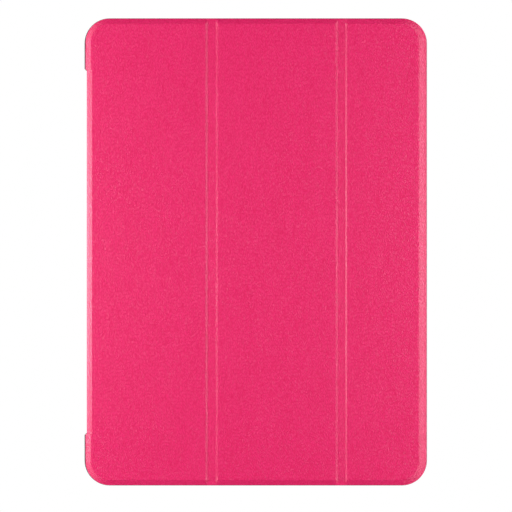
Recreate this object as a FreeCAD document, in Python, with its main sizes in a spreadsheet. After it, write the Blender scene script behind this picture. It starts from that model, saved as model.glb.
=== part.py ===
import FreeCAD, Part
import math
import os
import Sketcher
from FreeCAD import Vector

# A folio case for a tablet of about 248 x 179 x 6.5 mm: a hard shell, and a leather cover of
# three boarded panels that fold to a triangular stand.
# The case lies on its back. +X runs from the spine to the free edge, +Y to the top, +Z out of
# the front cover. The origin is under the middle of the back.

SIZES = {
    # hard shell
    "case_width": (184.0, "over the shell's side walls"),
    "case_height": (251.0, "over the shell's end walls"),
    "case_corner": (13.5, "corner radius of the shell"),
    "wall": (1.5, "shell wall"),
    "plate": (1.4, "shell back plate"),
    "wall_top": (9.2, "height of the shell's rim"),
    "lip_reach": (0.5, "snap lip, inward"),
    "lip_depth": (0.6, "snap lip, along the wall"),
    "back_round": (0.9, "round on the shell's back edge"),
    "rim_round": (0.3, "round on the shell's outer rim"),
    "spine_opening": (196.6, "gap in the left wall that the spine closes"),
    "plate_cutback": (4.0, "the plate's edge, inside the outline, along the spine"),
    # openings in the shell
    "window": (28.0, "camera window"),
    "window_corner": (8.0, "camera window corner"),
    "window_inset": (21.0, "window centre from the outline"),
    "window_ring": (1.6, "width of the moulded ring round the window"),
    "ring_rise": (0.15, "the ring sunk below the leather's face"),
    "slot_low": (3.4, "lower edge of every wall slot"),
    "slot_tall": (4.8, "height of every wall slot"),
    "slot_corner": (1.6, "slot corner radius"),
    "port_wide": (14.0, "charging port slot"),
    "speaker_wide": (26.0, "speaker slot"),
    "speaker_centre": (42.0, "speaker slot from the middle"),
    "power_wide": (18.0, "power button slot"),
    "power_centre": (67.0, "power button slot from the middle"),
    "volume_long": (30.0, "volume button slot"),
    "volume_centre": (82.0, "volume button slot from the middle"),
    # leather, boards and linings
    "leather": (0.8, "thickness of the leather"),
    "back_inset": (1.5, "back leather inside the shell's outline"),
    "window_play": (0.2, "leather to window ring"),
    "cut_margin": (1.0, "a cut runs past the outline"),
    "tray_lining": (0.4, "lining of the tray"),
    "tray_inset": (1.0, "tray lining inside the wall"),
    "board": (1.0, "stiffening board in each panel"),
    "lining": (0.5, "lining of the cover"),
    "lining_inset": (0.3, "lining inside the leather's edge"),
    "rest_gap": (0.4, "closed cover above the rim"),
    "side_margin": (1.4, "cover inside the shell's outline, left and right"),
    "end_margin": (0.7, "cover inside the shell's outline, top and bottom"),
    "cover_corner": (12.4, "corner radius of the cover"),
    "bevel_wide": (2.6, "sloping edge of the cover, in plan"),
    "bevel_deep": (1.1, "sloping edge of the cover, in height"),
    "board_inset": (2.8, "board inside the cover's free edges"),
    "board_play": (0.1, "board to leather at a fold"),
    # folds
    "fold_one": (-23.6, "centre of the band between panels one and two"),
    "fold_one_wide": (5.4, "width of that band"),
    "fold_two": (45.9, "centre of the band between panels two and three"),
    "fold_two_wide": (5.0, "width of that band"),
    "fold_gap": (0.3, "groove beside a band"),
    "band_drop": (0.4, "band below the panels' face"),
    "band_inset": (0.4, "band's ends inside the panels' ends"),
    # spine
    "spine_height": (195.0, "height of the spine strip"),
    "spine_board": (0.8, "stiffener in the spine"),
    "spine_board_trim": (0.3, "stiffener short of the leather at each end"),
    "spine_lining": (0.4, "lining of the spine"),
    "spine_low": (1.9, "lower edge of the spine strip"),
    "spine_top": (8.8, "upper edge of the spine strip"),
    "front_bend": (3.0, "outer radius of the front crease"),
    "back_bend": (1.8, "outer radius of the back crease"),
    "bend_gap": (0.08, "crease to the strips it joins"),
    # steel and magnets
    "stand_strip_wide": (9.0, "steel strip for the stand"),
    "stand_strip_long": (150.0, "steel strip for the stand"),
    "stand_strip_x": (-72.0, "middle of the steel strip"),
    "magnet_x": (81.0, "middle of the closure magnets"),
    "magnet_wide": (5.0, "closure magnet"),
    "magnet_long": (20.0, "closure magnet"),
    "magnet_pitch": (75.0, "closure magnets, middle to middle"),
    "wake_x": (72.0, "middle of the wake magnet"),
    "wake_y": (38.0, "middle of the wake magnet"),
    "metal": (0.7, "thickness of the magnets and the strip"),
    "metal_play": (0.2, "metal to its hole in the board"),
}

NEAR = 0.01  # two lengths closer than this are the same
SMALLEST_CUT = 0.01  # a pocket that removes less than this, in cubic mm, has missed

doc = FreeCAD.newDocument("tablet_case")
sheet = doc.addObject("Spreadsheet::Sheet", "sizes")
for row, (alias, (amount, meaning)) in enumerate(SIZES.items(), start=1):
    sheet.set(f"A{row}", alias)
    sheet.set(f"B{row}", str(amount))
    sheet.set(f"C{row}", meaning)
    sheet.setAlias(f"B{row}", alias)
doc.recompute()

# Levels and edges, as expressions of the sheet.
PLATE_LOW = "sizes.leather"
PLATE_TOP = "(sizes.leather + sizes.plate)"
COVER_LOW = "(sizes.wall_top + sizes.rest_gap)"
BOARD_LOW = f"({COVER_LOW} + sizes.lining)"
BOARD_TOP = f"({BOARD_LOW} + sizes.board)"
COVER_TOP = f"({BOARD_TOP} + sizes.leather)"
BAND_TOP = f"({COVER_TOP} - sizes.band_drop)"
BAND_MIDDLE = f"({BAND_TOP} - sizes.leather)"
BAND_LOW = f"({BAND_MIDDLE} - sizes.lining)"
SHELL_X = "(sizes.case_width / 2)"
SHELL_Y = "(sizes.case_height / 2)"
COVER_X = f"({SHELL_X} - sizes.side_margin)"
COVER_Y = f"({SHELL_Y} - sizes.end_margin)"
SPINE_Y = "(sizes.spine_height / 2)"
PANEL_SPINE_X = f"(-{COVER_X} + sizes.front_bend)"
BACK_SPINE_X = f"(-{COVER_X} + sizes.back_bend)"


def number(expression):
    """An expression's value, in mm."""
    return float(sheet.evalExpression(expression))


def new_body(name):
    body = doc.addObject("PartDesign::Body", name)
    body.Label = name
    return body


def new_sketch(body, name, plane="XY_Plane", offset="0"):
    """A sketch on one of the body's own planes, moved along that plane's normal."""
    sketch = body.newObject("Sketcher::SketchObject", name)
    support = next(f for f in body.Origin.OriginFeatures if f.Role == plane)
    sketch.AttachmentSupport = [(support, "")]
    sketch.MapMode = "FlatFace"
    sketch.setExpression("AttachmentOffset.Base.z", offset)
    return sketch


def bind(sketch, constraint, expression):
    """Adds a driving dimension and ties it to the sheet."""
    index = sketch.addConstraint(constraint)
    sketch.setExpression(f"Constraints[{index}]", expression)


def outline(sketch, corners):
    """A closed outline of level and upright lines.

    Each corner is (x, y, radius), in expressions; radius None is a square corner.
    """
    count = len(corners)
    points = [Vector(number(x), number(y), 0) for x, y, _ in corners]
    radii = [number(r) if r else 0.0 for _, _, r in corners]
    ways = [(points[(i + 1) % count] - points[i]).normalize() for i in range(count)]
    lines, arcs = [], []
    for i in range(count):
        j = (i + 1) % count
        start = points[i] + ways[i] * radii[i]
        end = points[j] - ways[i] * radii[j]
        lines.append(sketch.addGeometry(Part.LineSegment(start, end)))
    for i in range(count):
        arcs.append(corner_arc(sketch, points[i], ways[i - 1], ways[i], radii[i]))
    for i in range(count):
        level = abs(ways[i].x) > 0.5
        sketch.addConstraint(Sketcher.Constraint("Horizontal" if level else "Vertical", lines[i]))
        join_corner(sketch, lines[i - 1], lines[i], arcs[i])
        if corners[i][2]:
            arc, _ = arcs[i]
            bind(sketch, Sketcher.Constraint("Radius", arc, radii[i]), corners[i][2])
        axis, place = ("DistanceY", points[i].y) if level else ("DistanceX", points[i].x)
        bind(sketch, Sketcher.Constraint(axis, lines[i], 1, place), corners[i][1 if level else 0])


def corner_arc(sketch, corner, way_in, way_out, radius):
    """The arc of a rounded corner, and whether it turns left. None where it is square."""
    if not radius:
        return None
    turns_left = way_in.cross(way_out).z > 0
    centre = corner - way_in * radius + way_out * radius
    first = -way_out if turns_left else -way_in
    start = math.atan2(first.y, first.x)
    circle = Part.Circle(centre, Vector(0, 0, 1), radius)
    arc = Part.ArcOfCircle(circle, start, start + math.pi / 2)
    return sketch.addGeometry(arc), turns_left


def join_corner(sketch, line_in, line_out, arc):
    if arc is None:
        sketch.addConstraint(Sketcher.Constraint("Coincident", line_in, 2, line_out, 1))
        return
    index, turns_left = arc
    first, last = (1, 2) if turns_left else (2, 1)
    sketch.addConstraint(Sketcher.Constraint("Tangent", line_in, 2, index, first))
    sketch.addConstraint(Sketcher.Constraint("Tangent", index, last, line_out, 1))


def box_outline(sketch, left, right, low, high, radius=None):
    corners = [(left, low), (right, low), (right, high), (left, high)]
    outline(sketch, [(x, y, radius) for x, y in corners])


def centred_outline(sketch, half_x, half_y, radius=None):
    box_outline(sketch, f"(-{half_x})", half_x, f"(-{half_y})", half_y, radius)


def placed_outline(sketch, x, y, wide, high, radius=None):
    """A box outline about a middle point."""
    box_outline(sketch, f"({x} - {wide} / 2)", f"({x} + {wide} / 2)",
                f"({y} - {high} / 2)", f"({y} + {high} / 2)", radius)


def add_pad(body, sketch, length, midplane=False):
    pad = body.newObject("PartDesign::Pad", f"{sketch.Name}_pad")
    pad.Profile = sketch
    pad.setExpression("Length", length)
    pad.Midplane = midplane
    body.Tip = pad
    doc.recompute()
    return pad


def add_pocket(body, sketch, length, upward=False, midplane=False):
    """Cuts the sketch out of the body, downward unless it is told otherwise."""
    before = body.Shape.Volume
    pocket = body.newObject("PartDesign::Pocket", f"{sketch.Name}_pocket")
    pocket.Profile = sketch
    pocket.setExpression("Length", length)
    pocket.Reversed = upward
    pocket.Midplane = midplane
    body.Tip = pocket
    doc.recompute()
    if body.Shape.Volume >= before - SMALLEST_CUT:
        raise RuntimeError(f"{pocket.Name} cuts nothing")
    return pocket


def add_fillet(body, radius, wanted):
    """Rounds the edges of the body's tip for which wanted(edge) is true."""
    tip = body.Tip
    names = [f"Edge{i}" for i, e in enumerate(tip.Shape.Edges, start=1) if wanted(e)]
    fillet = body.newObject("PartDesign::Fillet", f"{body.Name}_round")
    fillet.Base = (tip, names)
    fillet.setExpression("Radius", radius)
    body.Tip = fillet
    doc.recompute()
    return fillet


def slab(name, corners, low, thickness):
    """A flat sheet of one outline."""
    body = new_body(name)
    sketch = new_sketch(body, f"{name}_outline", offset=low)
    outline(sketch, corners)
    add_pad(body, sketch, thickness)
    return body


def box_corners(left, right, half_y):
    low = f"(-{half_y})"
    return [(left, low, None), (right, low, None), (right, half_y, None), (left, half_y, None)]


# ---- shell ------------------------------------------------------------------------------------

WINDOW_X = f"({SHELL_X} - sizes.window_inset)"
WINDOW_Y = f"({SHELL_Y} - sizes.window_inset)"
RING = "(sizes.window + 2 * sizes.window_ring)"
RING_CORNER = "(sizes.window_corner + sizes.window_ring)"


def shell_layer(body, name, low, thickness, rim):
    """One level of the shell: its outline, hollow inside the rim. rim None is a full plate."""
    sketch = new_sketch(body, name, offset=low)
    centred_outline(sketch, SHELL_X, SHELL_Y, "sizes.case_corner")
    if rim:
        centred_outline(sketch, f"({SHELL_X} - {rim})", f"({SHELL_Y} - {rim})",
                        f"(sizes.case_corner - {rim})")
    add_pad(body, sketch, thickness)


def cut_spine_opening(body):
    """Takes out the left wall and the plate's edge between the two left corners."""
    sketch = new_sketch(body, "spine_opening", offset="0")
    half = "(sizes.spine_opening / 2)"
    box_outline(sketch, f"(-{SHELL_X} - sizes.cut_margin)",
                f"(-{SHELL_X} + sizes.plate_cutback)",
                f"(-{half})", half)
    add_pocket(body, sketch, "(2 * sizes.wall_top)", upward=True)


def cut_wall_slots(body, name, plane, offset, slots):
    """Slots of one height through one wall; each is (middle along the wall, length)."""
    sketch = new_sketch(body, name, plane, offset)
    middle = "(sizes.slot_low + sizes.slot_tall / 2)"
    for centre, length in slots:
        placed_outline(sketch, centre, middle, length, "sizes.slot_tall", "sizes.slot_corner")
    add_pocket(body, sketch, "(4 * sizes.wall)", midplane=True)


def is_outer_loop(edge, level):
    """Whether an edge lies at a level, on the shell's outer face."""
    box = edge.BoundBox
    flat = abs(box.ZMin - level) < NEAR and abs(box.ZMax - level) < NEAR
    middle = edge.valueAt((edge.FirstParameter + edge.LastParameter) / 2)
    reach_x = number(SHELL_X) - number("sizes.case_corner")
    reach_y = number(SHELL_Y) - number("sizes.case_corner")
    out_x = max(abs(middle.x) - reach_x, 0)
    out_y = max(abs(middle.y) - reach_y, 0)
    return flat and abs(math.hypot(out_x, out_y) - number("sizes.case_corner")) < NEAR


def make_back_shell():
    body = new_body("back_shell")
    shell_layer(body, "shell_plate", PLATE_LOW, "sizes.plate", None)
    shell_layer(body, "shell_wall", PLATE_TOP,
                f"(sizes.wall_top - sizes.lip_depth - {PLATE_TOP})", "sizes.wall")
    shell_layer(body, "shell_lip", "(sizes.wall_top - sizes.lip_depth)", "sizes.lip_depth",
                "(sizes.wall + sizes.lip_reach)")
    add_fillet(body, "sizes.back_round", lambda e: is_outer_loop(e, number(PLATE_LOW)))
    add_fillet(body, "sizes.rim_round", lambda e: is_outer_loop(e, number("sizes.wall_top")))

    ring = new_sketch(body, "window_ring", offset="sizes.ring_rise")
    placed_outline(ring, WINDOW_X, WINDOW_Y, RING, RING, RING_CORNER)
    add_pad(body, ring, f"({PLATE_LOW} - sizes.ring_rise)")
    window = new_sketch(body, "camera_window", offset="0")
    placed_outline(window, WINDOW_X, WINDOW_Y, "sizes.window", "sizes.window",
                   "sizes.window_corner")
    add_pocket(body, window, "(2 * sizes.wall_top)", upward=True)

    cut_spine_opening(body)
    wall_y = f"({SHELL_Y} - sizes.wall / 2)"
    speakers = [("sizes.speaker_centre", "sizes.speaker_wide"),
                ("(-sizes.speaker_centre)", "sizes.speaker_wide")]
    cut_wall_slots(body, "bottom_slots", "XZ_Plane", wall_y,
                   speakers + [("0", "sizes.port_wide")])
    cut_wall_slots(body, "top_slots", "XZ_Plane", f"(-{wall_y})",
                   speakers + [("sizes.power_centre", "sizes.power_wide")])
    cut_wall_slots(body, "side_slots", "YZ_Plane", f"({SHELL_X} - sizes.wall / 2)",
                   [("sizes.volume_centre", "sizes.volume_long")])


def tray_corners(inset, spine_edge, radius):
    """The shell's outline moved in, with its left edge set back between the left corners."""
    x = f"({SHELL_X} - {inset})"
    y = f"({SHELL_Y} - {inset})"
    half = "(sizes.spine_opening / 2)"
    return [
        (f"(-{x})", f"(-{y})", radius), (x, f"(-{y})", radius), (x, y, radius),
        (f"(-{x})", y, radius), (f"(-{x})", half, None), (spine_edge, half, None),
        (spine_edge, f"(-{half})", None), (f"(-{x})", f"(-{half})", None),
    ]


def make_back_leather():
    corners = tray_corners("sizes.back_inset", BACK_SPINE_X,
                           "(sizes.case_corner - sizes.back_inset)")
    body = slab("back_leather", corners, "0", "sizes.leather")
    cut = new_sketch(body, "leather_window", offset="0")
    wide = f"({RING} + 2 * sizes.window_play)"
    placed_outline(cut, WINDOW_X, WINDOW_Y, wide, wide, f"({RING_CORNER} + sizes.window_play)")
    add_pocket(body, cut, "(2 * sizes.leather)", upward=True)


def make_tray_lining():
    inset = "(sizes.wall + sizes.tray_inset)"
    spine_edge = f"(-{SHELL_X} + sizes.plate_cutback + sizes.tray_inset)"
    body = slab("tray_lining", tray_corners(inset, spine_edge, f"(sizes.case_corner - {inset})"),
                PLATE_TOP, "sizes.tray_lining")
    cut = new_sketch(body, "lining_window", offset=PLATE_TOP)
    wide = "(sizes.window + 2 * sizes.tray_inset)"
    placed_outline(cut, WINDOW_X, WINDOW_Y, wide, wide,
                   "(sizes.window_corner + sizes.tray_inset)")
    add_pocket(body, cut, "(2 * sizes.tray_lining)", upward=True)


# ---- spine ------------------------------------------------------------------------------------

def make_spine():
    """Leather, stiffener and lining, from the outside in."""
    tall = "(sizes.spine_top - sizes.spine_low)"
    outer = f"(-{COVER_X})"
    for name, thickness, trim in (
        ("spine_leather", "sizes.leather", "0"),
        ("spine_board", "sizes.spine_board", "sizes.spine_board_trim"),
        ("spine_lining", "sizes.spine_lining", "0"),
    ):
        inner = f"({outer} + {thickness})"
        slab(name, box_corners(outer, inner, f"({SPINE_Y} - {trim})"), "sizes.spine_low", tall)
        outer = inner


def make_crease(name, bend, centre_x, centre_z, quarter):
    """A quarter-round strip of leather along the spine. quarter 1 is the upper left one."""
    body = new_body(name)
    sketch = new_sketch(body, f"{name}_section", "XZ_Plane")
    middle = Vector(number(centre_x), number(centre_z), 0)
    start = math.pi / 2 * quarter
    arcs = []
    for radius in (bend, f"({bend} - sizes.leather)"):
        circle = Part.Circle(middle, Vector(0, 0, 1), number(radius))
        arcs.append(sketch.addGeometry(Part.ArcOfCircle(circle, start, start + math.pi / 2)))
        bind(sketch, Sketcher.Constraint("DistanceX", arcs[-1], 3, middle.x), centre_x)
        bind(sketch, Sketcher.Constraint("DistanceY", arcs[-1], 3, middle.y), centre_z)
        bind(sketch, Sketcher.Constraint("Radius", arcs[-1], number(radius)), radius)
    outer, inner = (sketch.Geometry[i] for i in arcs)
    ends = [(inner.StartPoint, outer.StartPoint), (inner.EndPoint, outer.EndPoint)]
    for end, (near, far) in enumerate(ends, start=1):
        line = sketch.addGeometry(Part.LineSegment(near, far))
        sketch.addConstraint(Sketcher.Constraint("Coincident", line, 1, arcs[1], end))
        sketch.addConstraint(Sketcher.Constraint("Coincident", line, 2, arcs[0], end))
        upright = abs(near.x - far.x) < NEAR
        sketch.addConstraint(Sketcher.Constraint("Vertical" if upright else "Horizontal", line))
    add_pad(body, sketch, "sizes.spine_height", midplane=True)


def make_creases():
    """The leather's two bends along the spine, clear of the strips they join."""
    make_crease("front_crease_leather", "(sizes.front_bend - sizes.bend_gap)",
                f"({PANEL_SPINE_X} - sizes.bend_gap)",
                f"({COVER_TOP} - sizes.front_bend)", 1)
    make_crease("back_crease_leather", "(sizes.back_bend - sizes.bend_gap)",
                f"({BACK_SPINE_X} - sizes.bend_gap)", "sizes.back_bend", 2)


# ---- cover ------------------------------------------------------------------------------------

FOLD_EDGE = {
    "one_left": "(sizes.fold_one - sizes.fold_one_wide / 2)",
    "one_right": "(sizes.fold_one + sizes.fold_one_wide / 2)",
    "two_left": "(sizes.fold_two - sizes.fold_two_wide / 2)",
    "two_right": "(sizes.fold_two + sizes.fold_two_wide / 2)",
}
HALF_GAP = "(sizes.fold_gap / 2)"


def panel_one_corners(inset, fold_inset):
    """Panel one: the front crease takes its left edge between two rounded corners."""
    left = f"(-{COVER_X} + {inset})"
    spine = f"({PANEL_SPINE_X} + {inset})"
    right = f"({FOLD_EDGE['one_left']} - {fold_inset})"
    y = f"({COVER_Y} - {inset})"
    notch = f"(sizes.spine_opening / 2 + {inset})"
    radius = f"(sizes.cover_corner - {inset})"
    return [
        (left, f"(-{y})", radius), (right, f"(-{y})", None), (right, y, None),
        (left, y, radius), (left, notch, None), (spine, notch, None),
        (spine, f"(-{notch})", None), (left, f"(-{notch})", None),
    ]


def panel_two_corners(inset, fold_inset):
    return box_corners(f"({FOLD_EDGE['one_right']} + {fold_inset})",
                       f"({FOLD_EDGE['two_left']} - {fold_inset})", f"({COVER_Y} - {inset})")


def panel_three_corners(inset, fold_inset):
    left = f"({FOLD_EDGE['two_right']} + {fold_inset})"
    right = f"({COVER_X} - {inset})"
    y = f"({COVER_Y} - {inset})"
    radius = f"(sizes.cover_corner - {inset})"
    return [(left, f"(-{y})", None), (right, f"(-{y})", radius), (right, y, radius),
            (left, y, None)]


def make_panel(name, corners, metal_holes):
    """Leather turned down over the board's edges, the board, and the lining that closes it."""
    leather = slab(f"{name}_leather", corners("0", HALF_GAP), BOARD_LOW,
                   "(sizes.board + sizes.leather)")
    bevel(leather)
    hollow = new_sketch(leather, f"{name}_hollow", offset=BOARD_LOW)
    outline(hollow, corners("(sizes.board_inset - sizes.board_play)",
                            f"({HALF_GAP} + sizes.leather)"))
    add_pocket(leather, hollow, "sizes.board", upward=True)
    fold_inset = f"({HALF_GAP} + sizes.leather + sizes.board_play)"
    board = slab(f"{name}_board", corners("sizes.board_inset", fold_inset), BOARD_LOW,
                 "sizes.board")
    if metal_holes:
        holes = new_sketch(board, f"{name}_board_holes", offset=BOARD_LOW)
        for hole in metal_holes:
            placed_outline(holes, *hole)
        add_pocket(board, holes, "(2 * sizes.board)", upward=True)
    slab(f"{name}_lining", corners("sizes.lining_inset", HALF_GAP), COVER_LOW, "sizes.lining")


def bevel(body):
    """Slopes the leather's top edges along the cover's free ends and side."""
    top = number(COVER_TOP)
    ends = number(COVER_Y)
    side = number(COVER_X)
    corner = number("sizes.cover_corner")
    tip = body.Tip

    def is_free(edge):
        box = edge.BoundBox
        if box.ZMin < top - NEAR:
            return False
        middle = edge.valueAt((edge.FirstParameter + edge.LastParameter) / 2)
        at_end = abs(abs(middle.y) - ends) < NEAR
        at_side = abs(abs(middle.x) - side) < NEAR
        in_corner = (side - abs(middle.x) < corner and ends - abs(middle.y) < corner
                     and edge.Curve.TypeId == "Part::GeomCircle")
        return at_end or in_corner or at_side

    names = [f"Edge{i}" for i, e in enumerate(tip.Shape.Edges, start=1) if is_free(e)]
    chamfer = body.newObject("PartDesign::Chamfer", f"{body.Name}_bevel")
    chamfer.Base = (tip, names)
    chamfer.ChamferType = "Two distances"
    chamfer.setExpression("Size", "sizes.bevel_deep")
    chamfer.setExpression("Size2", "sizes.bevel_wide")
    body.Tip = chamfer
    doc.recompute()


def make_band(name, side):
    """The thin strip between two grooves: leather on lining, with no board."""
    left = f"({FOLD_EDGE[side + '_left']} + {HALF_GAP})"
    right = f"({FOLD_EDGE[side + '_right']} - {HALF_GAP})"
    corners = box_corners(left, right, f"({COVER_Y} - sizes.band_inset)")
    slab(f"{name}_leather", corners, BAND_MIDDLE, "sizes.leather")
    slab(f"{name}_lining", corners, BAND_LOW, "sizes.lining")


def make_metal(name, pieces):
    """Flat pieces of steel or magnet, all in one node, let into the panel's board."""
    body = new_body(name)
    sketch = new_sketch(body, f"{name}_outline", offset=f"({BOARD_LOW} + sizes.metal_play / 2)")
    for piece in pieces:
        placed_outline(sketch, *piece)
    add_pad(body, sketch, "sizes.metal")


def with_play(pieces):
    return [(x, y, f"({wide} + 2 * sizes.metal_play)", f"({high} + 2 * sizes.metal_play)")
            for x, y, wide, high in pieces]


def make_cover():
    strip = [("sizes.stand_strip_x", "0", "sizes.stand_strip_wide", "sizes.stand_strip_long")]
    magnets = [("sizes.magnet_x", f"({i} * sizes.magnet_pitch)", "sizes.magnet_wide",
                "sizes.magnet_long") for i in (-1, 0, 1)]
    wake = [("sizes.wake_x", "sizes.wake_y", "sizes.magnet_wide", "sizes.magnet_long")]
    make_panel("panel_one", panel_one_corners, with_play(strip))
    make_metal("stand_strip", strip)
    make_band("band_one", "one")
    make_panel("panel_two", panel_two_corners, [])
    make_band("band_two", "two")
    make_panel("panel_three", panel_three_corners, with_play(magnets + wake))
    make_metal("closure_magnets", magnets)
    make_metal("wake_magnet", wake)


def check_document():
    """Stops if any object failed, or any sub-part has no valid shape."""
    doc.recompute()
    for thing in doc.Objects:
        if "Invalid" in thing.State or "Error" in thing.State:
            raise RuntimeError(f"{thing.Name}: {thing.State}")
    bodies = [o for o in doc.Objects if o.isDerivedFrom("PartDesign::Body")]
    for body in bodies:
        if body.Shape.isNull() or not body.Shape.isValid():
            raise RuntimeError(f"{body.Label} has no valid shape")
    return bodies


def write_parts(bodies):
    os.makedirs("parts", exist_ok=True)
    for body in bodies:
        body.Shape.exportStep(os.path.join("parts", f"{body.Label}.step"))
        box = body.Shape.BoundBox
        print(f"{body.Label:22s} solids {len(body.Shape.Solids)} volume {body.Shape.Volume:10.1f}"
              f"  x {box.XMin:7.2f} {box.XMax:7.2f}  y {box.YMin:7.2f} {box.YMax:7.2f}"
              f"  z {box.ZMin:6.2f} {box.ZMax:6.2f}")


make_back_shell()
make_back_leather()
make_tray_lining()
make_spine()
make_creases()
make_cover()
write_parts(check_document())
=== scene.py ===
import math

import bmesh
import bpy
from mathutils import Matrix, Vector


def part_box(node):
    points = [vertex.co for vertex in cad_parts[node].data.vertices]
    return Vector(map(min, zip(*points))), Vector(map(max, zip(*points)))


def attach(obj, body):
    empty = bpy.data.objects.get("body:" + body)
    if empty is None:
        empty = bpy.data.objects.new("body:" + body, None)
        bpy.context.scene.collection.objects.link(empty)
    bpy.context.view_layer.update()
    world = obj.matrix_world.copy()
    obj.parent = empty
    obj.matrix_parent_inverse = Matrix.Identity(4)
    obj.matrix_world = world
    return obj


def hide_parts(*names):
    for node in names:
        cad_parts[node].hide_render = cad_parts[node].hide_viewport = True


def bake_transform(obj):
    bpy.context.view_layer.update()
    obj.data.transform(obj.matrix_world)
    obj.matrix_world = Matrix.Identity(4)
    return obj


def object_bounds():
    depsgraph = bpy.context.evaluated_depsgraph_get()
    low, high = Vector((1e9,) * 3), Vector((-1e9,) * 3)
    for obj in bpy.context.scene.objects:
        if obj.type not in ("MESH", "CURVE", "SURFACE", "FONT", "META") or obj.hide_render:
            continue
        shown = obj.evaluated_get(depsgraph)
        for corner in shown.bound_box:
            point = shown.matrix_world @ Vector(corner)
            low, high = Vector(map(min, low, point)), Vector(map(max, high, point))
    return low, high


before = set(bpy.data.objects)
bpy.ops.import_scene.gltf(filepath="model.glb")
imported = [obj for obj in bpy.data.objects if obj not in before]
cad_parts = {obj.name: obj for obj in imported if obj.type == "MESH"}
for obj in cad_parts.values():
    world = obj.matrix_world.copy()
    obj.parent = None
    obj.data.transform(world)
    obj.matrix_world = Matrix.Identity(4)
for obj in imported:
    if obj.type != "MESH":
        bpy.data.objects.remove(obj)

# A folio case for a tablet, closed and lying on its back. +X runs from the spine to the free
# edge, +Y to the top, +Z out of the front cover. Every length is in metres.
#
# The leather and the linings are built here, closed. A piece on a stiff part rides on its body;
# the pieces where the cover bends ride on none. The shell, boards, strip and magnets keep their
# CAD shapes.

MM = 0.001
cad_low, cad_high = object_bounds()


def low(node):
    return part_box(node)[0]


def high(node):
    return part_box(node)[1]


# ---- sizes of the cover -----------------------------------------------------------------------

FREE_X = high("back_shell").x - 0.4 * MM    # the pressed cover all but hides the shell's rim
FLAP_X = high("back_shell").x - 0.75 * MM   # how far the corner flaps reach on the spine side
COVER_Y = high("back_shell").y - 0.4 * MM
COVER_CORNER = 12.8 * MM
COVER_TOP = high("panel_one_leather").z
LEATHER_LOW = low("panel_one_leather").z
LINING_LOW = low("panel_one_lining").z
BOARD_TOP = high("panel_one_board").z
LEATHER = COVER_TOP - BOARD_TOP

HEM = 0.9 * MM                         # width of the pressed hem outside the boards
HEM_EDGE = LEATHER_LOW + 0.5 * MM      # the hem's height at the cover's edge
HEM_TOP = LEATHER_LOW + LEATHER        # and at the foot of the bevel
BAND_LIFT = 0.25 * MM                  # the hem's edge is this much higher at a fold band
BEVEL = 3.0 * MM                       # from the cover's edge to the flat, in plan
FREE_WIDEN = 1.45                      # the bevel is this many times as wide at the free edge
RIM_ROUND = 0.2 * MM
BEVEL_ROUND = 1.4 * MM
TURN_IN = 3.3 * MM                     # leather turned in under the board's edges
FLAT_INSET = 4.5 * MM                  # the outermost ring on a flat face
MIDDLE_INSETS = (3.0 * MM, 1.5 * MM)   # rings between it and the edge, where there is no bevel
RAMP = 6.5 * MM                        # a fold band slopes down to the hem over this length
SLIT = 0.06 * MM                       # round on the edges of the cut beside the spine

LINING_INSET = 0.3 * MM
LINE_DEPTH = 0.14 * MM                 # the line pressed into the lining along the board's edge
LINE_INSET = 2.4 * MM                  # from the cover's edge to the line
LINE_WIDTH = 0.8 * MM
LINE_SLOPE = 0.2 * MM                  # width of each of the line's two sides

BAND_MIDDLE = low("band_one_leather").z
BAND_LOW = low("band_one_lining").z
FLEX = 1.2 * MM                        # from a groove's middle to the stiff part of its band
BOARD_CLEAR = 0.05 * MM                # from a board's edge to the seam beside it
# The slope from a panel down to its band: (width, drop)
SHOULDERS = {"one_left": (1.9 * MM, 0.42 * MM), "one_right": (1.9 * MM, 0.25 * MM),
             "two_left": (1.9 * MM, 0.26 * MM), "two_right": (1.6 * MM, 0.46 * MM)}

# ---- sizes of the spine -----------------------------------------------------------------------

SPINE_Y = high("spine_leather").y
SPINE_LOW = low("spine_leather").z
SPINE_TOP = high("spine_leather").z
SPINE_OUTER = low("spine_leather").x - 0.05 * MM
SPINE_INNER = high("spine_leather").x
SPINE_LINING = (low("spine_lining").x, high("spine_lining").x)
PANEL_SPINE_X = high("front_crease_leather").x + 0.4 * MM
BACK_SPINE_X = high("back_crease_leather").x + 0.1 * MM
FLAP_Y = SPINE_Y + 0.06 * MM           # the cover's corner flaps start here
BACK_BEND = 1.7 * MM
FRONT_CORNER = COVER_TOP - 1.3 * MM    # where the spine turns towards the flat, in two steps
FRONT_KNEE = (1.0 * MM, COVER_TOP - 0.72 * MM)
FRONT_FLAT = 3.05 * MM                 # from the spine's face to the cover's flat, in plan
CORNER_BEND, KNEE_BEND, FLAT_BEND = 0.9 * MM, 2.0 * MM, 1.2 * MM
CORNER_BEND_INSIDE, FLAT_BEND_INSIDE = 0.4 * MM, 0.6 * MM
LINING_BEND, LINING_BEND_INSIDE = 0.9 * MM, 0.5 * MM

# ---- sizes of the back and the tray -----------------------------------------------------------

TRAY_LOW, TRAY_HIGH = low("tray_lining").z, high("tray_lining").z
TRAY_SPINE_X = low("back_shell").x + 5.0 * MM
CREASE_RISE = 0.8 * MM                 # the back crease's lining ends this far above the tray's
NOTCH_CLEAR = 0.8 * MM                 # between the spine's end and the sheets beside it
BACK_CORNER, TRAY_CORNER = 12.0 * MM, 11.0 * MM
WINDOW = 14.0 * MM                     # camera window, from its middle to its edge
WINDOW_CORNER = 8.0 * MM
WINDOW_AWAY = 21.0 * MM                # and from its middle to the shell's two sides
WINDOW_AT = (high("back_shell").x - WINDOW_AWAY, high("back_shell").y - WINDOW_AWAY)
BACK_WINDOW, TRAY_WINDOW = 1.8 * MM, 1.0 * MM    # the sheets keep this clear of the window
BACK_SOFT, TRAY_SOFT = 0.2 * MM, 0.1 * MM        # chamfer on the sheets' edges

# ---- fineness of the meshes -------------------------------------------------------------------

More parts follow.
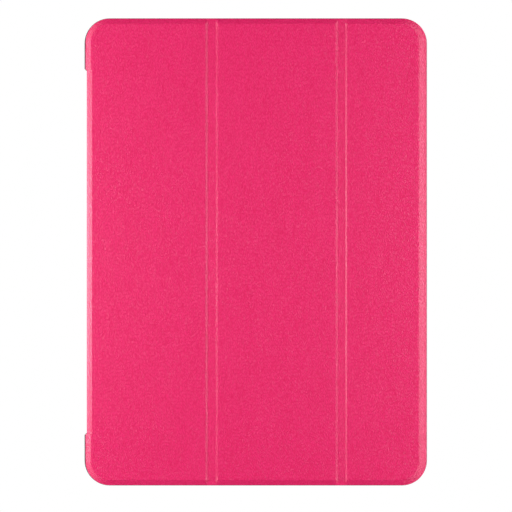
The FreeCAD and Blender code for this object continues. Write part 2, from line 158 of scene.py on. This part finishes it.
SHARP = math.radians(38)               # a steeper edge than this stays crisp
FINE = 0.35 * MM                       # longest step along leather that bends
CORNER_STEPS = 14                      # faces round a corner of the case
WINDOW_STEPS = 8
GROOVE_STEPS = 14
HEM_STEPS = 5                          # faces round each bend of the cover's edge
LINING_STEPS = 3
OUTER_STEPS, INNER_STEPS = 8, 6        # faces round a bend of the spine, outside and inside


# ---- outlines ---------------------------------------------------------------------------------

def smooth(t):
    """0 below 0, 1 above 1, and level at both."""
    t = min(max(t, 0.0), 1.0)
    return t * t * (3 - 2 * t)


def rounded(corners, steps, closed=False):
    """A path through corners (a, b, radius), with an arc at each corner that has a radius."""
    path = []
    for i, (a, b, radius) in enumerate(corners):
        corner = Vector((a, b))
        if not radius:
            path.append(corner)
            continue
        following = corners[(i + 1) % len(corners)] if closed else corners[i + 1]
        back = (Vector(corners[i - 1][:2]) - corner).normalized()
        on = (Vector(following[:2]) - corner).normalized()
        half = back.angle(on) / 2
        centre = corner + (back + on).normalized() * (radius / math.sin(half))
        first = corner + back * (radius / math.tan(half)) - centre
        last = corner + on * (radius / math.tan(half)) - centre
        turn = math.pi - 2 * half
        for k in range(steps + 1):
            share = k / steps
            spoke = first * math.sin((1 - share) * turn) + last * math.sin(share * turn)
            path.append(centre + spoke / math.sin(turn))
    return path


def fine(path):
    """The same path with no step longer than FINE."""
    points = [path[0]]
    for start, end in zip(path, path[1:]):
        pieces = max(1, math.ceil((end - start).length / FINE))
        points += [start.lerp(end, k / pieces) for k in range(1, pieces + 1)]
    return points


def at_height(path, z):
    """A plane path as points in space."""
    return [Vector((x, y, z)) for x, y in path]


# ---- meshes -----------------------------------------------------------------------------------

def loft(loops):
    """Points and faces of a solid through closed loops, with a flat face at each end."""
    count = len(loops[0])
    points = [p for loop in loops for p in loop]
    last = (len(loops) - 1) * count
    faces = [tuple(range(count)), tuple(range(last, last + count))]
    for start in range(0, last, count):
        for j in range(count):
            k = (j + 1) % count
            faces.append((start + j, start + k, start + count + k, start + count + j))
    return points, faces


def loft_open(rings):
    """As loft, through rings that start and end on one flat seam, which gets its own face."""
    count = len(rings[0])
    points = [p for ring in rings for p in ring]
    last = (len(rings) - 1) * count
    faces = [tuple(range(count)), tuple(range(last, last + count))]
    for start in range(0, last, count):
        for j in range(count - 1):
            faces.append((start + j, start + j + 1, start + count + j + 1, start + count + j))
    starts = list(range(0, last + 1, count))
    faces.append(tuple(starts + [s + count - 1 for s in reversed(starts)]))
    return points, faces


def add_wall(mesh, rings):
    """A wall through closed rings. Returns its first and its last ring."""
    made = [[mesh.verts.new(p) for p in ring] for ring in rings]
    for ring, above in zip(made, made[1:]):
        for j in range(len(ring)):
            k = (j + 1) % len(ring)
            mesh.faces.new((ring[j], ring[k], above[k], above[j]))
    return made[0], made[-1]


def plate(outer_rings, window_rings):
    """Points and faces of a flat plate with a window; each ring list runs from face to face."""
    mesh = bmesh.new()
    walls = [add_wall(mesh, rings) for rings in (outer_rings, window_rings)]
    for rims in zip(*walls):
        edges = []
        for rim in rims:
            edges += [mesh.edges.get((rim[j - 1], rim[j])) for j in range(len(rim))]
        bmesh.ops.triangle_fill(mesh, use_beauty=True, edges=edges)
    mesh.verts.index_update()
    points = [v.co.copy() for v in mesh.verts]
    faces = [tuple(v.index for v in f.verts) for f in mesh.faces]
    mesh.free()
    return points, faces


def add_object(name, data):
    thing = bpy.data.objects.new(name, data)
    bpy.context.scene.collection.objects.link(thing)
    return thing


def add_piece(name, shape, material, nodes=()):
    """An object of that shape, which stands for the CAD nodes, with its rest places stored."""
    points, faces = shape
    data = bpy.data.meshes.new(name)
    data.from_pydata(points, [], faces)
    mesh = bmesh.new()
    mesh.from_mesh(data)
    bmesh.ops.recalc_face_normals(mesh, faces=mesh.faces)
    mesh.to_mesh(data)
    mesh.free()
    data.shade_smooth()
    data.set_sharp_from_angle(angle=SHARP)
    places = data.attributes.new("rest_place", "FLOAT_VECTOR", "POINT")
    places.data.foreach_set("vector", [c for v in data.vertices for c in v.co])
    piece = add_object(name, data)
    data.materials.append(material)
    if nodes:
        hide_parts(*nodes)
    return piece


# ---- the cover's section ----------------------------------------------------------------------
# A level is (inset from the cover's edge, z, kind). The kind says which face of the cover it
# lies on, and so where it goes in a fold band, which has no board.

def leather_hem():
    """From the turned-in underside round the hem and up the bevel to the flat."""
    path = rounded([(TURN_IN, LEATHER_LOW, 0), (0, LEATHER_LOW, RIM_ROUND / 2),
                    (0, HEM_EDGE, RIM_ROUND), (HEM, HEM_TOP, BEVEL_ROUND / 2),
                    (BEVEL, COVER_TOP, BEVEL_ROUND), (FLAT_INSET, COVER_TOP, 0),
                    (RAMP, COVER_TOP, 0)], HEM_STEPS)
    return [(d, z, "top" if z > HEM_TOP else "hem") for d, z in path]


def middle_levels():
    """Across the face between leather and lining, from the inside out."""
    return [(d, LEATHER_LOW, "middle") for d in (RAMP, FLAT_INSET, *MIDDLE_INSETS)]


def leather_solid():
    """The leather of a groove or a band, which lies on the lining with no board between."""
    return middle_levels() + leather_hem()[1:]


def leather_over_board():
    """The leather of a panel: hollow underneath, where the board lies."""
    return [(TURN_IN, BOARD_TOP, "hollow")] + leather_hem()


def lining_levels():
    """The lining, with a line pressed along the board's edge."""
    edge = rounded([(LINING_INSET, LEATHER_LOW, 0), (LINING_INSET, LINING_LOW, RIM_ROUND),
                    (LINE_INSET, LINING_LOW, 0)], LINING_STEPS)
    line_end = LINE_INSET + LINE_WIDTH
    under = [(LINE_INSET + LINE_SLOPE, LINING_LOW + LINE_DEPTH),
             (line_end - LINE_SLOPE, LINING_LOW + LINE_DEPTH),
             (line_end, LINING_LOW), (FLAT_INSET, LINING_LOW), (RAMP, LINING_LOW)]
    return (middle_levels() + [(d, z, "hem") for d, z in edge]
            + [(d, z, "under") for d, z in under])


def band_height(inset, z, kind, drop):
    """Where a level goes in a fold band: down from the flat, and level with the hem at its end."""
    share = smooth(inset / RAMP)
    if kind == "hem" and z > LEATHER_LOW:
        lift = BAND_LIFT * (z - LEATHER_LOW) / (HEM_EDGE - LEATHER_LOW)
        return min(z + lift, HEM_TOP)
    if kind == "top":
        rise = smooth((inset - HEM) / (RAMP - HEM))
        return HEM_TOP + (COVER_TOP - drop - HEM_TOP) * rise
    if kind == "middle":
        return LEATHER_LOW + (BAND_MIDDLE - LEATHER_LOW) * share
    if kind == "under":
        return z + (BAND_LOW - LINING_LOW) * share
    return z


def section(x, levels, fold_share, drop):
    """The cover's closed section at x. fold_share is 0 on a panel and 1 on a fold band."""
    heights = [z + (band_height(d, z, kind, drop) - z) * fold_share for d, z, kind in levels]
    upper = [Vector((x, COVER_Y - d, z)) for (d, _, _), z in zip(levels, heights)]
    return upper + [Vector((x, -p.y, p.z)) for p in reversed(upper)]


# ---- folds ------------------------------------------------------------------------------------

class Groove:
    """One of the two pressed grooves of a fold, between a panel's board and its band."""

    def __init__(self, panel, band, which, panel_is_left):
        self.which = which
        self.bodies = (panel, band)
        self.side = 1 if panel_is_left else -1
        corner = 1 if panel_is_left else 0
        panel_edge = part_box(panel + "_leather")[corner].x
        band_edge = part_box(band + "_leather")[1 - corner].x
        board_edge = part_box(panel + "_board")[corner].x
        self.middle = (panel_edge + band_edge) / 2
        self.panel_seam = board_edge + self.side * BOARD_CLEAR
        self.band_seam = self.middle + self.side * FLEX
        self.width, self.drop = SHOULDERS[which]

    def share(self, x):
        """0 on the panel and 1 on the band, smoothly between."""
        return smooth(0.5 + (x - self.middle) * self.side / self.width)

    def stations(self):
        """The places across the groove where its section is taken."""
        run = self.band_seam - self.panel_seam
        return [self.panel_seam + run * k / GROOVE_STEPS for k in range(GROOVE_STEPS + 1)]

    def build(self, kind, levels, material):
        loops = [section(x, levels, self.share(x), self.drop) for x in self.stations()]
        piece = add_piece(f"groove_{self.which}_{kind}", loft(loops), material)
        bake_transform(piece)


def build_band(name, levels, left, right, material, node):
    """The stiff middle of a fold, between its two grooves."""
    loops = []
    for share in (0.0, 0.5, 1.0):
        x = left.band_seam + (right.band_seam - left.band_seam) * share
        loops.append(section(x, levels, 1.0, left.drop + (right.drop - left.drop) * share))
    piece = add_piece(name, loft(loops), material, [node])
    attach(piece, left.bodies[1])


# ---- panels -----------------------------------------------------------------------------------

def ring_one(seam_x, free, cut, spine, z):
    """Panel one's outline, from the seam round the spine side and back to the seam.

    free is its inset from the cover's edge, cut from the slits beside the spine, and spine
    from the crease.
    """
    x, y = -FLAP_X + free, COVER_Y - free
    radius = COVER_CORNER - free
    flap = FLAP_Y + cut
    crease_x = PANEL_SPINE_X + spine
    corners = [(seam_x, -y, 0), (x, -y, radius), (x, -flap, 0), (crease_x, -flap, 0),
               (crease_x, flap, 0), (x, flap, 0), (x, y, radius), (seam_x, y, 0)]
    return at_height(rounded(corners, CORNER_STEPS), z)


def ring_three(seam_x, free, z):
    """Panel three's outline, from the seam round the free edge and back to the seam."""
    x, y = FREE_X - free * FREE_WIDEN, COVER_Y - free
    radius = COVER_CORNER - free
    corners = [(seam_x, -y, 0), (x, -y, radius), (x, y, radius), (seam_x, y, 0)]
    return at_height(rounded(corners, CORNER_STEPS), z)


def build_panel_one(kind, levels, seam_x, material):
    """The panel at the spine, cut in at the slits, and turned in round the board's hollow."""
    rings = []
    for d, z, face in levels:
        deep = face == "hollow" or (face == "hem" and d > TURN_IN - SLIT and z < BOARD_TOP)
        cut = d if deep else min(d, SLIT)
        rings.append(ring_one(seam_x, d, cut, TURN_IN if deep else 0, z))
    piece = add_piece(f"cover_one_{kind}", loft_open(rings), material, [f"panel_one_{kind}"])
    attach(piece, "panel_one")


def build_panel_two(kind, levels, left_x, right_x, material):
    loops = [section(x, levels, 0.0, 0.0) for x in (left_x, right_x)]
    piece = add_piece(f"cover_two_{kind}", loft(loops), material, [f"panel_two_{kind}"])
    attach(piece, "panel_two")


def build_panel_three(kind, levels, seam_x, material):
    rings = [ring_three(seam_x, d, z) for d, z, _ in levels]
    piece = add_piece(f"cover_three_{kind}", loft_open(rings), material,
                      [f"panel_three_{kind}"])
    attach(piece, "panel_three")


def build_layer(kind, panel_levels, fold_levels, grooves, material):
    """One layer of the cover, leather or lining, from the spine to the free edge."""
    one_left, one_right, two_left, two_right = grooves
    build_panel_one(kind, panel_levels, one_left.panel_seam, material)
    build_panel_two(kind, panel_levels, one_right.panel_seam, two_left.panel_seam, material)
    build_panel_three(kind, panel_levels, two_right.panel_seam, material)
    for groove in grooves:
        groove.build(kind, fold_levels, material)
    build_band(f"fold_one_{kind}", fold_levels, one_left, one_right, material,
               f"band_one_{kind}")
    build_band(f"fold_two_{kind}", fold_levels, two_left, two_right, material,
               f"band_two_{kind}")


def build_cover(leather, lining):
    grooves = (Groove("panel_one", "band_one", "one_left", True),
               Groove("panel_two", "band_one", "one_right", False),
               Groove("panel_two", "band_two", "two_left", True),
               Groove("panel_three", "band_two", "two_right", False))
    build_layer("leather", leather_over_board(), leather_solid(), grooves, leather)
    build_layer("lining", lining_levels(), lining_levels(), grooves, lining)


# ---- spine ------------------------------------------------------------------------------------

def strip(outer, inner):
    """A strip along the spine, between two paths of (x, z) across it."""
    loop = fine(outer) + list(reversed(fine(inner)))
    return loft([[Vector((x, y, z)) for x, z in loop] for y in (-SPINE_Y, SPINE_Y)])


def flat_strip(outer_x, inner_x, low_z, high_z):
    """An upright strip along the spine."""
    return strip([Vector((outer_x, low_z)), Vector((outer_x, high_z))],
                 [Vector((inner_x, low_z)), Vector((inner_x, high_z))])


def build_back_crease(leather):
    outer = [(BACK_SPINE_X, 0, 0), (SPINE_OUTER, 0, BACK_BEND), (SPINE_OUTER, SPINE_LOW, 0)]
    inner = [(BACK_SPINE_X, LEATHER, 0), (SPINE_INNER, LEATHER, BACK_BEND / 2),
             (SPINE_INNER, SPINE_LOW, 0)]
    shape = strip(rounded(outer, OUTER_STEPS), rounded(inner, INNER_STEPS))
    piece = add_piece("back_crease", shape, leather, ["back_crease_leather"])
    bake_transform(piece)


def build_spine_face(leather):
    shape = flat_strip(SPINE_OUTER, SPINE_INNER, SPINE_LOW, SPINE_TOP)
    piece = add_piece("spine_cover", shape, leather, ["spine_leather"])
    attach(piece, "spine")


def build_front_crease(leather):
    """The leather's bend from the spine to the front, with a soft knee half-way."""
    knee_x, knee_z = FRONT_KNEE
    flat_x = SPINE_OUTER + FRONT_FLAT
    outer = [(SPINE_OUTER, SPINE_TOP, 0), (SPINE_OUTER, FRONT_CORNER, CORNER_BEND),
             (SPINE_OUTER + knee_x, knee_z, KNEE_BEND), (flat_x, COVER_TOP, FLAT_BEND),
             (PANEL_SPINE_X, COVER_TOP, 0)]
    inner = [(SPINE_INNER, SPINE_TOP, 0), (SPINE_INNER, FRONT_CORNER, CORNER_BEND_INSIDE),
             (flat_x, BOARD_TOP, FLAT_BEND_INSIDE), (PANEL_SPINE_X, BOARD_TOP, 0)]
    shape = strip(rounded(outer, OUTER_STEPS), rounded(inner, INNER_STEPS))
    piece = add_piece("front_crease", shape, leather, ["front_crease_leather"])
    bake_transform(piece)


def lining_bend(panel_x, end_z, outer_z, inner_z):
    """The lining's bend from the spine into a sheet whose faces are at outer_z and inner_z."""
    far, near = SPINE_LINING
    outer = [(panel_x, outer_z, 0), (far, outer_z, LINING_BEND), (far, end_z, 0)]
    inner = [(panel_x, inner_z, 0), (near, inner_z, LINING_BEND_INSIDE), (near, end_z, 0)]
    return rounded(outer, INNER_STEPS), rounded(inner, INNER_STEPS)


def build_spine_lining(lining):
    far, near = SPINE_LINING
    crease_top = TRAY_HIGH + CREASE_RISE
    shape = strip(*lining_bend(TRAY_SPINE_X, crease_top, TRAY_LOW, TRAY_HIGH))
    back = add_piece("back_crease_lining", shape, lining)
    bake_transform(back)
    shape = flat_strip(far, near, crease_top, SPINE_TOP)
    spine = add_piece("spine_inside", shape, lining, ["spine_lining"])
    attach(spine, "spine")
    shape = strip(*lining_bend(PANEL_SPINE_X, SPINE_TOP, LEATHER_LOW, LINING_LOW))
    front = add_piece("front_crease_lining", shape, lining)
    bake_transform(front)


# ---- back and tray ----------------------------------------------------------------------------

def tray_ring(inset, spine_x, radius, z):
    """The shell's outline moved in, set back along the spine between the left corners."""
    x = cad_high.x - inset
    y = cad_high.y - inset
    half = SPINE_Y + NOTCH_CLEAR
    corners = [(-x, -y, radius), (x, -y, radius), (x, y, radius), (-x, y, radius),
               (-x, half, 0), (spine_x, half, 0), (spine_x, -half, 0), (-x, -half, 0)]
    return at_height(rounded(corners, CORNER_STEPS, closed=True), z)


def window_ring(grow, z):
    """The camera window's outline, moved out by grow."""
    reach = WINDOW + grow
    x, y = WINDOW_AT
    radius = WINDOW_CORNER + grow
    corners = [(x - reach, y - reach, radius), (x + reach, y - reach, radius),
               (x + reach, y + reach, radius), (x - reach, y + reach, radius)]
    return at_height(rounded(corners, WINDOW_STEPS, closed=True), z)


def soft_plate(node, spine_x, radius, grow, soften):
    """A sheet as the node's, in the shell's outline, with a window and chamfered edges."""
    node_low, node_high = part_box(node)
    inset = cad_high.x - node_high.x
    steps = [(soften, node_low.z), (0, node_low.z + soften), (0, node_high.z - soften),
             (soften, node_high.z)]
    outer = [tray_ring(inset + d, spine_x + d, radius - d, z) for d, z in steps]
    window = [window_ring(grow + d, z) for d, z in steps]
    return plate(outer, window)


def build_back(leather, lining):
    shape = soft_plate("back_leather", BACK_SPINE_X, BACK_CORNER, BACK_WINDOW, BACK_SOFT)
    back = add_piece("back_cover", shape, leather, ["back_leather"])
    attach(back, "shell")
    shape = soft_plate("tray_lining", TRAY_SPINE_X, TRAY_CORNER, TRAY_WINDOW, TRAY_SOFT)
    tray = add_piece("tray_felt", shape, lining, ["tray_lining"])
    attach(tray, "shell")


# ---- materials --------------------------------------------------------------------------------
# Every size below is about how wide one feature of a texture is, and every depth how far its
# relief stands proud.

PEBBLE, PORE, PATCH = 0.85 * MM, 0.45 * MM, 14 * MM
WARP_SIZE, WARP = 1.2 * MM, 0.6 * MM
GRAIN_STRETCH = (1.4, 0.45, 1.0)       # the leather's grain is longer along the case
GRAIN_DEPTH = 0.082 * MM
# Painted shade and sheen: the leather's pink is deeper and more saturated in the grain's hollows,
# and paler on its tops.
PINK_SHADED_HOLLOWS = (0.665, 0.0005, 0.089, 1)
PINK_SHEENED_TOPS = (0.775, 0.0150, 0.143, 1)
GRAZING_POWER, GRAZING_MATTE = 5.0, 0.9    # leather seen at a low angle is less glossy

NAP, NAP_DEPTH = 0.35 * MM, 0.05 * MM
STROKE = 12 * MM
STROKE_STRETCH = (1.0, 0.5, 1.0)
FELT_DARK = (0.070, 0.067, 0.071, 1)
FELT_PALE = (0.140, 0.135, 0.141, 1)

SPARK, SPARK_DEPTH = 0.18 * MM, 0.012 * MM
CLOUD = 9 * MM
SHELL_DARK = (0.060, 0.048, 0.053, 1)
SHELL_PALE = (0.075, 0.060, 0.066, 1)

FLECK, FLECK_DEPTH = 0.5 * MM, 0.03 * MM
BOARD_DARK = (0.25, 0.235, 0.21, 1)
BOARD_PALE = (0.36, 0.345, 0.32, 1)

BRUSH, BRUSH_DEPTH = 0.08 * MM, 0.004 * MM
BRUSH_STRETCH = (1, 0.02, 1)
BRUSH_GLOSS_RANGE = 0.12               # roughness from the smoothest to the roughest stroke
STEEL = (0.5, 0.5, 0.51, 1)
NICKEL = (0.6, 0.59, 0.56, 1)
METAL_PALE = (0.72, 0.72, 0.73, 1)

# A Mix node has sockets for several kinds of value under the same names. These are the colours'.
MIX_FIRST, MIX_SECOND, MIX_RESULT = 6, 7, 2


class Paint:
    """A node material under construction."""

    def __init__(self, name, slot):
        self.material = bpy.data.materials.new(name)
        self.material["slot"] = slot
        self.material.use_nodes = True
        self.tree = self.material.node_tree
        self.shader = self.tree.nodes["Principled BSDF"]

    def add(self, kind, inputs=None, **settings):
        node = self.tree.nodes.new("ShaderNode" + kind)
        for key, value in settings.items():
            setattr(node, key, value)
        for key, value in (inputs or {}).items():
            self.feed(node, key, value)
        return node

    def feed(self, node, key, value):
        """Links an output to a socket, or sets the socket to a plain value."""
        if isinstance(value, bpy.types.NodeSocket):
            self.tree.links.new(value, node.inputs[key])
        else:
            node.inputs[key].default_value = value

    def surface(self, settings):
        """Links or sets the shader's sockets."""
        for key, value in settings.items():
            self.feed(self.shader, key, value)

    def stretched(self, place, stretch):
        return self.add("Mapping", {"Vector": place, "Scale": stretch}).outputs["Vector"]

    def rest_places(self, stretch=(1, 1, 1)):
        """Where each point of a custom piece lies at rest, so that grain stays put in a fold."""
        rest = self.add("Attribute", attribute_name="rest_place")
        return self.stretched(rest.outputs["Vector"], stretch)

    def own_places(self):
        """A CAD node doesn't bend, so its own coordinates hold its texture still."""
        return self.add("TexCoord").outputs["Object"]

    def noise(self, place, size, detail=2.0, roughness=0.5):
        node = self.add("TexNoise", {"Vector": place, "Scale": 1 / size, "Detail": detail,
                                     "Roughness": roughness})
        return node.outputs["Fac"]

    def span(self, value, from_low, from_high, to_low=0.0, to_high=1.0):
        """The value's range from from_low to from_high, stretched to to_low to to_high."""
        node = self.add("MapRange", {"Value": value, "From Min": from_low,
                                     "From Max": from_high, "To Min": to_low,
                                     "To Max": to_high})
        return node.outputs["Result"]

    def math(self, operation, a, b):
        return self.add("Math", {0: a, 1: b}, operation=operation).outputs["Value"]

    def vector_math(self, operation, a, b):
        return self.add("VectorMath", {0: a, 1: b}, operation=operation).outputs["Vector"]

    def blend(self, first, second, share):
        """The two values mixed, with this share of the second."""
        return self.math("ADD", self.math("MULTIPLY", first, 1 - share),
                         self.math("MULTIPLY", second, share))

    def mix(self, share, first, second):
        """The two colours mixed, with this share of the second."""
        node = self.add("Mix", {"Factor": share}, data_type="RGBA")
        node.inputs[MIX_FIRST].default_value = first
        node.inputs[MIX_SECOND].default_value = second
        return node.outputs[MIX_RESULT]

    def bump(self, height, depth):
        """A height of 0 to 1 raised by depth."""
        node = self.add("Bump", {"Height": height, "Distance": depth, "Strength": 1.0})
        self.feed(self.shader, "Normal", node.outputs["Normal"])


def leather_grain(paint, place):
    """The height of pebbles between fine creases, with pores over them."""
    warp = paint.add("TexNoise", {"Vector": place, "Scale": 1 / WARP_SIZE, "Detail": 1.0})
    drift = paint.vector_math("MULTIPLY", warp.outputs["Color"], (WARP,) * 3)
    moved = paint.vector_math("ADD", place, drift)
    cells = paint.add("TexVoronoi", {"Vector": moved, "Scale": 1 / PEBBLE},
                      feature="DISTANCE_TO_EDGE")
    pebbles = paint.span(cells.outputs["Distance"], 0.0, 0.25)
    pores = paint.noise(place, PORE, roughness=0.6)
    return paint.blend(pebbles, pores, 0.45)


def leather_gloss(paint, height):
    """The roughness: the grain's tops are polished, and all of it is matter at a low angle."""
    polish = paint.span(height, 0.15, 0.85, 0.47, 0.33)
    facing = paint.add("LayerWeight", {"Blend": 0.5}).outputs["Facing"]
    grazing = paint.math("POWER", facing, GRAZING_POWER)
    return paint.math("ADD", polish, paint.math("MULTIPLY", grazing, GRAZING_MATTE))


def make_leather():
    """Pressed synthetic leather: a fine pebble grain, a little longer along the case."""
    paint = Paint("pink_leather", "leather")
    place = paint.rest_places(GRAIN_STRETCH)
    height = leather_grain(paint, place)
    # The base colour follows the grain's height. Painted shade darkens the hollows and a painted
    # sheen pales the tops, with a little random mottling mixed in.
    tone = paint.blend(height, paint.noise(place, PATCH, detail=3.0), 0.15)
    paint.surface({
        "Base Color": paint.mix(paint.span(tone, 0.3, 0.75), PINK_SHADED_HOLLOWS, PINK_SHEENED_TOPS),
        "Roughness": leather_gloss(paint, height),
        "Specular IOR Level": 0.64,
        "Sheen Weight": 0.05,
        "Sheen Roughness": 0.4,
    })
    paint.bump(height, GRAIN_DEPTH)
    return paint.material


def make_lining():
    """Brushed microfibre."""
    paint = Paint("grey_microfibre", "lining")
    nap = paint.noise(paint.rest_places(), NAP, detail=3.0, roughness=0.7)
    strokes = paint.noise(paint.rest_places(STROKE_STRETCH), STROKE, detail=3.0)
    tone = paint.blend(nap, strokes, 0.2)
    paint.surface({
        "Base Color": paint.mix(paint.span(tone, 0.3, 0.7), FELT_DARK, FELT_PALE),
        "Roughness": 0.9,
        "Specular IOR Level": 0.25,
        "Sheen Weight": 0.35,
        "Sheen Roughness": 0.5,
    })
    paint.bump(nap, NAP_DEPTH)
    return paint.material


def make_shell_plastic():
    """Moulded polycarbonate with a fine spark-eroded satin."""
    paint = Paint("shell_plastic", "shell_plastic")
    place = paint.own_places()
    cloud = paint.noise(place, CLOUD)
    paint.surface({
        "Base Color": paint.mix(cloud, SHELL_DARK, SHELL_PALE),
        "Roughness": paint.span(cloud, 0.3, 0.7, 0.36, 0.44),
    })
    paint.bump(paint.noise(place, SPARK, roughness=0.6), SPARK_DEPTH)
    return paint.material


def make_board():
    """Grey pressed stiffening board, with a fibrous fleck."""
    paint = Paint("pressed_board", "board")
    fleck = paint.noise(paint.own_places(), FLECK, detail=4.0, roughness=0.7)
    paint.surface({
        "Base Color": paint.mix(paint.span(fleck, 0.35, 0.65), BOARD_DARK, BOARD_PALE),
        "Roughness": 0.85,
    })
    paint.bump(fleck, FLECK_DEPTH)
    return paint.material


def make_metal(name, slot, colour, roughness):
    """Rolled sheet or plating, faintly brushed along its length."""
    paint = Paint(name, slot)
    place = paint.stretched(paint.own_places(), BRUSH_STRETCH)
    brushed = paint.noise(place, BRUSH, detail=3.0)
    paint.surface({
        "Metallic": 1.0,
        "Base Color": paint.mix(brushed, colour, METAL_PALE),
        "Roughness": paint.span(brushed, 0.3, 0.7, roughness, roughness + BRUSH_GLOSS_RANGE),
    })
    paint.bump(brushed, BRUSH_DEPTH)
    return paint.material


def dress_cad_nodes():
    """Materials for the pieces whose CAD shape stays."""
    board = make_board()
    nickel = make_metal("nickel", "magnet", NICKEL, 0.22)
    finishes = {
        "back_shell": make_shell_plastic(),
        "stand_strip": make_metal("thin_steel", "steel", STEEL, 0.34),
        "closure_magnets": nickel,
        "wake_magnet": nickel,
    }
    for name in ("spine_board", "panel_one_board", "panel_two_board", "panel_three_board"):
        finishes[name] = board
    for name, finish in finishes.items():
        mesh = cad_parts[name].data
        mesh.materials.clear()
        mesh.materials.append(finish)


# ---- studio -----------------------------------------------------------------------------------

WHITE = (1, 1, 1, 1)
BLACK = (0, 0, 0, 1)
FLOOR_Z = -0.060        # clear of the cover when it is folded behind the case
FLOOR_REACH = 4.0
AMBIENT = 0.06
VIEW_SPAN = 0.275       # width that the camera takes in at the height of the shell's rim
VIEW_MIDDLE = (0.13 * MM, -2.2 * MM)
LENS = 100.0
SENSOR = 36.0

# Softboxes stand low at both sides, so that the slopes shine and the flats hardly do. Smaller
# ones beyond the corners carry the shine round them. Places and sizes are in metres.
SIDE_X, CORNER_X, CORNER_Y = 0.647, 0.50, 0.40
SIDE_Z, TOP_Z = 0.316, 0.85
LEFT_SIZE, RIGHT_SIZE = (0.26, 0.38), (0.46, 0.55)
CORNER_SIZE, TOP_SIZE = (0.26, 0.30), (0.25, 0.25)
LEFT_WATTS, RIGHT_WATTS, TOP_WATTS = 5.4, 4.6, 0.10
LEFT_CORNER_WATTS, RIGHT_CORNER_WATTS = 1.05, 1.0


def make_floor():
    """A plain white floor that gives its own light, so that it shows no shadow."""
    data = bpy.data.meshes.new("floor")
    corners = [(x * FLOOR_REACH, y * FLOOR_REACH, FLOOR_Z)
               for x, y in ((-1, -1), (1, -1), (1, 1), (-1, 1))]
    data.from_pydata(corners, [], [(0, 1, 2, 3)])
    floor = add_object("floor", data)
    paint = Paint("white_floor", "")
    paint.surface({"Base Color": BLACK, "Specular IOR Level": 0, "Roughness": 1,
                   "Emission Color": WHITE, "Emission Strength": 1})
    data.materials.append(paint.material)


def add_softbox(name, place, size, watts):
    """A rectangular light at place, turned to the case."""
    light = bpy.data.lights.new(name, "AREA")
    light.shape = "RECTANGLE"
    light.size, light.size_y = size
    light.energy = watts
    lamp = add_object(name, light)
    lamp.location = place
    lamp.visible_camera = False
    lamp.rotation_mode = "QUATERNION"
    lamp.rotation_quaternion = (-Vector(place)).to_track_quat("-Z", "Y")


def add_softboxes():
    add_softbox("softbox_left", (-SIDE_X, 0, SIDE_Z), LEFT_SIZE, LEFT_WATTS)
    add_softbox("softbox_right", (SIDE_X, 0, SIDE_Z), RIGHT_SIZE, RIGHT_WATTS)
    for name, x, watts in (("left", -CORNER_X, LEFT_CORNER_WATTS),
                           ("right", CORNER_X, RIGHT_CORNER_WATTS)):
        for end, y in (("bottom", -CORNER_Y), ("top", CORNER_Y)):
            add_softbox(f"softbox_{name}_{end}", (x, y, SIDE_Z), CORNER_SIZE, watts)
    add_softbox("softbox_top", (0, 0, TOP_Z), TOP_SIZE, TOP_WATTS)


def make_world():
    """Faint light from all sides, with a white backdrop behind the scene."""
    world = bpy.data.worlds.new("studio")
    bpy.context.scene.world = world
    world.use_nodes = True
    tree = world.node_tree
    ambient = tree.nodes["Background"]
    ambient.inputs["Color"].default_value = WHITE
    ambient.inputs["Strength"].default_value = AMBIENT
    backdrop = tree.nodes.new("ShaderNodeBackground")
    backdrop.inputs["Color"].default_value = WHITE
    path = tree.nodes.new("ShaderNodeLightPath")
    mix = tree.nodes.new("ShaderNodeMixShader")
    tree.links.new(path.outputs["Is Camera Ray"], mix.inputs[0])
    tree.links.new(ambient.outputs[0], mix.inputs[1])
    tree.links.new(backdrop.outputs[0], mix.inputs[2])
    tree.links.new(mix.outputs[0], tree.nodes["World Output"].inputs["Surface"])


def make_camera():
    """A long lens that looks straight down at the cover."""
    data = bpy.data.cameras.new("camera")
    data.lens = LENS
    data.sensor_width = SENSOR
    camera = add_object("camera", data)
    distance = VIEW_SPAN * LENS / SENSOR
    camera.location = (*VIEW_MIDDLE, high("back_shell").z + distance)
    bpy.context.scene.camera = camera


def build_studio():
    make_camera()
    make_world()
    make_floor()
    add_softboxes()
    bpy.context.scene.view_settings.view_transform = "Standard"


build_studio()
pink_leather = make_leather()
grey_lining = make_lining()
build_cover(pink_leather, grey_lining)
build_back_crease(pink_leather)
build_spine_face(pink_leather)
build_front_crease(pink_leather)
build_spine_lining(grey_lining)
build_back(pink_leather, grey_lining)
dress_cad_nodes()
